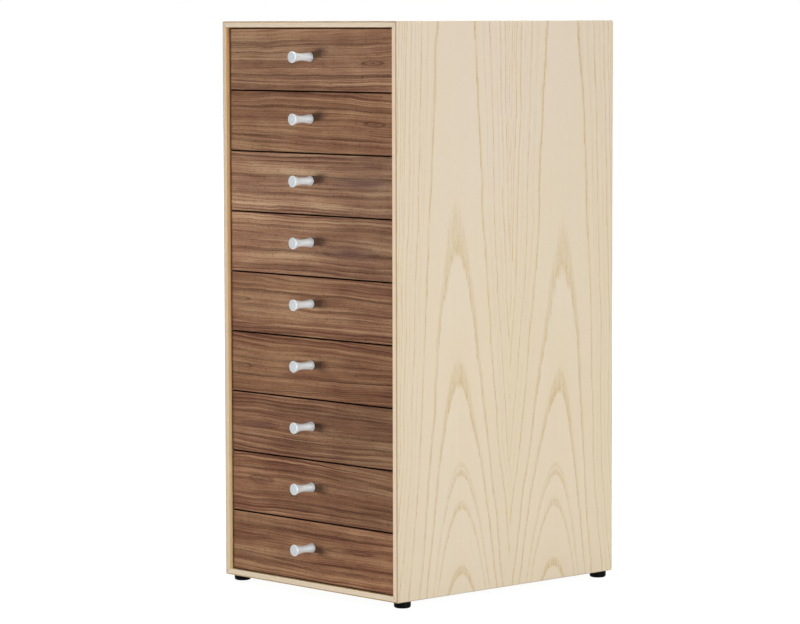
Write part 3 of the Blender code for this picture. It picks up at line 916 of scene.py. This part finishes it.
def walnut_finish(name, number):
    """Satin lacquer on walnut, with this front's own figure."""
    finish, start, shader = new_finish(name)
    x, y, z = place_in_millimetres(start).parts()
    bottom = INNER_FLOOR + (DRAWER_COUNT - number) * DRAWER_PITCH
    height = (bottom + DRAWER_PITCH - z) / DRAWER_PITCH
    flow, leaf = grain_flow(number, x, y, height)
    fine = leaf.noise((0.03, 0.0, 0.9), 3.0, 0.75)
    pores = leaf.noise((0.17, 0.0, 1.3), 1.0, 0.5).ramp(0.54, 0.70)
    dark, streak, smudge = front_marks(number, x, flow, leaf)
    tone, late = walnut_tone(number, height, flow, leaf, fine)
    shades = zip((0.0, 0.5, 1.0), (WALNUT_DARK, WALNUT_MID, WALNUT_PALE))
    colour = (tone - streak * 0.7).coloured([(share, light_of(look)) for share, look in shades])
    marks = (dark * 0.74 + pores * (late * 0.2 + 0.32)).least(0.85)
    colour = marks.tint(colour, light_of(WALNUT_LINE))
    colour = (smudge * 0.75).tint(colour, light_of(WALNUT_SMUDGE))
    left_tone, right_tone = FRONT_TONES[number - 1]
    colour = (x / FRONT_HALF_WIDTH).ramp(-1.0, 1.0, left_tone, right_tone).shade(colour)
    red = FRONT_REDS[number - 1]
    colour = colour.stretched((1.0, 1.0 - red * 0.10, 1.0 - red * 0.17))
    # The eased edges above and below get painted shade, and their narrow faces are painted
    # almost black
    low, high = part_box(f"drawer_{number}_front")
    past_edge = (z - high.z * 1000).most(low.z * 1000 - z)
    arris = past_edge.ramp(*ARRIS_SHADE_SPAN, 0.0, 0.55)
    gap_painted_shade = (y - FRONT_FACE).ramp(*EDGE_SHADE_SETBACK) * past_edge.ramp(*EDGE_SHADE_SPAN, 0.0, 0.85)
    colour = arris.most(gap_painted_shade).tint(colour, light_of(WALNUT_GAP_SHADE))
    dress(shader, colour, fine * 0.14 + 0.38 + pores * 0.1, fine * 0.5 - pores, LACQUER_RELIEF)
    shader.inputs["Specular IOR Level"].default_value = 0.07
    return finish


for number in range(1, DRAWER_COUNT + 1):
    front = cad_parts[f"drawer_{number}_front"]
    front.material_slots[0].material = walnut_finish(f"walnut_front_{number}", number)


# Behind each front, two walls and a back are folded from one strip of birch plywood,
# glued at the folds and rounded over above, where the layers show. They stand on the
# bottom, a thin board of the same plywood whose edges run past them as tongues.
WALL_OUTER = 0.1294
WALL_THICKNESS = 0.008
WALL_START = -0.1418
WALL_REAR = 0.1709
WALL_ROUND = 0.0014
WALL_ROUND_STEPS = 3


def depth_in_wall(place):
    x, y, z = place.parts()
    return (WALL_OUTER * 1000 - abs(x)).least(WALL_REAR * 1000 - y)


wall_ply = birch_finish("birch_walls", (0.9, 0.03, 0.9), depth_in_wall)


def drawer_walls(name, low, high):
    """Starts as the back wall; both sides are pushed out of its ends."""
    bpy.ops.object.select_all(action="DESELECT")
    middle = Vector((0, WALL_REAR - WALL_THICKNESS / 2, (low + high) / 2))
    bpy.ops.mesh.primitive_cube_add(
        size=1, location=middle, scale=(2 * WALL_OUTER, WALL_THICKNESS, high - low)
    )
    piece = bpy.context.object
    piece.name = name
    piece.data.name = name
    bpy.ops.object.transform_apply(location=True, rotation=True, scale=True)
    bpy.ops.object.mode_set(mode="EDIT")
    for side in (-1, 1):
        bpy.ops.mesh.select_all(action="SELECT")
        cut_at = (side * (WALL_OUTER - WALL_THICKNESS), 0, 0)
        bpy.ops.mesh.bisect(plane_co=cut_at, plane_no=(1, 0, 0))
    bpy.ops.mesh.select_mode(type="FACE")
    bpy.ops.mesh.select_all(action="DESELECT")
    bpy.ops.object.mode_set(mode="OBJECT")
    for face in piece.data.polygons:
        ends = face.normal.y < -0.9 and abs(face.center.x) > WALL_OUTER - WALL_THICKNESS
        face.select = ends
    bpy.ops.object.mode_set(mode="EDIT")
    reach = WALL_START - (WALL_REAR - WALL_THICKNESS)
    bpy.ops.mesh.extrude_region_move(TRANSFORM_OT_translate={"value": (0, reach, 0)})
    bpy.ops.mesh.select_mode(type="VERT")
    bpy.ops.mesh.select_all(action="SELECT")
    bpy.ops.mesh.dissolve_limited(angle_limit=math.radians(1))
    bpy.ops.mesh.normals_make_consistent(inside=False)
    bpy.ops.object.mode_set(mode="OBJECT")
    rounding = piece.modifiers.new("rounding", "BEVEL")
    rounding.width = WALL_ROUND
    rounding.segments = WALL_ROUND_STEPS
    rounding.limit_method = "ANGLE"
    rounding.angle_limit = math.radians(60)
    bpy.ops.object.modifier_apply(modifier=rounding.name)
    bpy.ops.object.shade_smooth_by_angle(angle=math.radians(35))
    return piece


def one_per_drawer(first, name, node):
    """Copies the first drawer's piece for the others. Each stands in for its plain solid."""
    start_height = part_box(f"drawer_1_{node}")[0].z
    pieces = [first]
    for number in range(2, DRAWER_COUNT + 1):
        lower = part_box(f"drawer_{number}_{node}")[0].z - start_height
        pieces.append(copied(first, f"{name}_{number}", Vector((0, 0, lower))))
    for number, piece in enumerate(pieces, start=1):
        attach(piece, f"drawer_{number}")
        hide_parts(f"drawer_{number}_{node}")


bottom_ply = birch_finish("birch_bottoms", (0.03, 0.9, 0.9))
low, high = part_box("drawer_1_walls")
first_walls = drawer_walls("walls_1", low.z, high.z)
first_walls.data.materials.append(wall_ply)
one_per_drawer(first_walls, "walls", "walls")
for number in range(1, DRAWER_COUNT + 1):
    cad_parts[f"drawer_{number}_bottom"].material_slots[0].material = bottom_ply


# Each pull is turned from solid aluminium: a waisted stem between a rounded head
# and a smaller rounded foot, finished with fine cloth so that it keeps a satin
# sheen. A blind bore in its foot takes the screw.
PULL_STEPS = 80
PULL_LENGTH = 0.0285
PULL_HEAD_RADIUS = 0.0074
PULL_WAIST_RADIUS = 0.0040
PULL_FOOT_RADIUS = 0.0056
PULL_RIM = 0.0019
PULL_FOOT_EASE = 0.0004
PULL_BORE_RADIUS = 0.0023
PULL_BORE_DEPTH = 0.010
FACE_DISH = 0.00025
FACE_DISH_RADIUS = 0.0032
PULL_WAIST_STEPS = 26
PULL_WAIST_START = 0.03
PULL_FACE = -182.9
PULL_MIDDLE = -168.6
PULL_PLAIN_HALF = 11.0
PULL_FACE_DEPTH = (0.1, 0.5)
PULL_DARK = (227, 235, 239)
PULL_PALE = (237, 243, 247)


def waist_radius(share):
    """A parabola from the foot to the waist in the middle and out to the head."""
    swell = (2 * share - 1) ** 2
    end = PULL_FOOT_RADIUS if share < 0.5 else PULL_HEAD_RADIUS
    return PULL_WAIST_RADIUS + (end - PULL_WAIST_RADIUS) * swell


def pull_outline():
    """From the end of the bore round the foot, along the waist and over the head."""
    ease = PULL_FOOT_EASE
    bore = PULL_BORE_RADIUS
    points = [(0.0, PULL_BORE_DEPTH), (bore, PULL_BORE_DEPTH), (bore, 0.0)]
    points += arc((PULL_FOOT_RADIUS - ease, ease), ease, -90, 0, 4)
    last = 1 - PULL_RIM / PULL_LENGTH
    for step in range(1, PULL_WAIST_STEPS + 1):
        share = PULL_WAIST_START + (last - PULL_WAIST_START) * step / PULL_WAIST_STEPS
        points.append((waist_radius(share), share * PULL_LENGTH))
    edge = waist_radius(last)
    points += arc((edge - PULL_RIM, PULL_LENGTH - PULL_RIM), PULL_RIM, 8, 90, 10)
    points += [
        (FACE_DISH_RADIUS, PULL_LENGTH),
        (FACE_DISH_RADIUS * 0.7, PULL_LENGTH - FACE_DISH * 0.7),
        (0.0, PULL_LENGTH - FACE_DISH),
    ]
    return points


finish, start, shader = new_finish("pull_satin_aluminium")
place = place_in_millimetres(start)
brushed = place.noise((0.8, 9.0, 0.8), 3.0, 0.6)
cloud = place.noise((0.25, 0.25, 0.25), 2.0, 0.5)
colour = (brushed * 0.7 + cloud * 0.3).tint(light_of(PULL_DARK), light_of(PULL_PALE))
along = place.parts()[1]
# Painted shade and highlight: the head's face is painted darker against the strong light it
# gets,
faced = (along - PULL_FACE).ramp(*PULL_FACE_DEPTH, 0.69, 1.0)
# and both ends are painted lighter than the middle of the stem
rim_painted_highlight = (abs(along - PULL_MIDDLE) - PULL_PLAIN_HALF).ramp(0.0, 2.5, 0.94, 1.0)
colour = (faced * rim_painted_highlight).shade(colour)
roughness = brushed * 0.12 + cloud * 0.06 + 0.34
dress(shader, colour, roughness, brushed, depth=0.00003, strength=0.4)
shader.inputs["Metallic"].default_value = 0.1
shader.inputs["IOR"].default_value = 1.8

pull_low, pull_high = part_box("drawer_1_pull")
pull_foot = (0.0, pull_high.y, (pull_low.z + pull_high.z) / 2)
first_pull = turned("pull_1", pull_outline(), pull_foot, (0, -1, 0), PULL_STEPS)
first_pull.data.materials.append(finish)
one_per_drawer(first_pull, "pull", "pull")


# A zinc-plated pan-head screw comes through each front from inside the drawer and
# is driven into the pull. Its head has a cross recess.
SCREW_STEPS = 40
SCREW_RADIUS = 0.0019
SCREW_HEAD_RADIUS = 0.004
SCREW_HEAD_HEIGHT = 0.0024
SCREW_HEAD_ROUND = 0.0012
RECESS_LENGTH = 0.0044
RECESS_WIDTH = 0.0010
RECESS_DEPTH = 0.0013
SCREW_POINT_CHAMFER = 0.0004
SCREW_HEAD_EDGE = 0.0001
ZINC_DARK = (158, 158, 160)
ZINC_PALE = (196, 195, 190)

low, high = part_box("drawer_1_pull_screw")
screw_foot = Vector((0.0, low.y, (low.z + high.z) / 2))
screw_length = high.y - low.y
head_start = screw_length - SCREW_HEAD_HEIGHT
screw_outline = [
    (0.0, 0.0),
    (SCREW_RADIUS - SCREW_POINT_CHAMFER, 0.0),
    (SCREW_RADIUS, SCREW_POINT_CHAMFER),
    (SCREW_RADIUS, head_start),
    (SCREW_HEAD_RADIUS - SCREW_HEAD_EDGE, head_start),
    (SCREW_HEAD_RADIUS, head_start + SCREW_HEAD_EDGE),
]
round_middle = (SCREW_HEAD_RADIUS - SCREW_HEAD_ROUND, screw_length - SCREW_HEAD_ROUND)
screw_outline += arc(round_middle, SCREW_HEAD_ROUND, 0, 90, 6) + [(0.0, screw_length)]
first_screw = turned("screw_1", screw_outline, screw_foot, (0, 1, 0), SCREW_STEPS)
for length, width in ((RECESS_LENGTH, RECESS_WIDTH), (RECESS_WIDTH, RECESS_LENGTH)):
    bpy.ops.object.select_all(action="DESELECT")
    bpy.ops.mesh.primitive_cube_add(
        size=1, location=(0, high.y, screw_foot.z), scale=(length, 2 * RECESS_DEPTH, width)
    )
    punch = bpy.context.object
    bpy.context.view_layer.objects.active = first_screw
    recess = first_screw.modifiers.new("recess", "BOOLEAN")
    recess.operation = "DIFFERENCE"
    recess.solver = "EXACT"
    recess.object = punch
    bpy.ops.object.modifier_apply(modifier=recess.name)
    bpy.data.objects.remove(punch)
finish, start, shader = new_finish("screw_zinc")
place = place_in_millimetres(start)
grain = place.noise((2.5, 2.5, 2.5), 3.0, 0.6)
colour = grain.tint(light_of(ZINC_DARK), light_of(ZINC_PALE))
dress(shader, colour, grain * 0.18 + 0.28, grain, depth=0.00004, strength=0.4)
shader.inputs["Metallic"].default_value = 1.0
first_screw.data.materials.append(finish)
one_per_drawer(first_screw, "screw", "pull_screw")
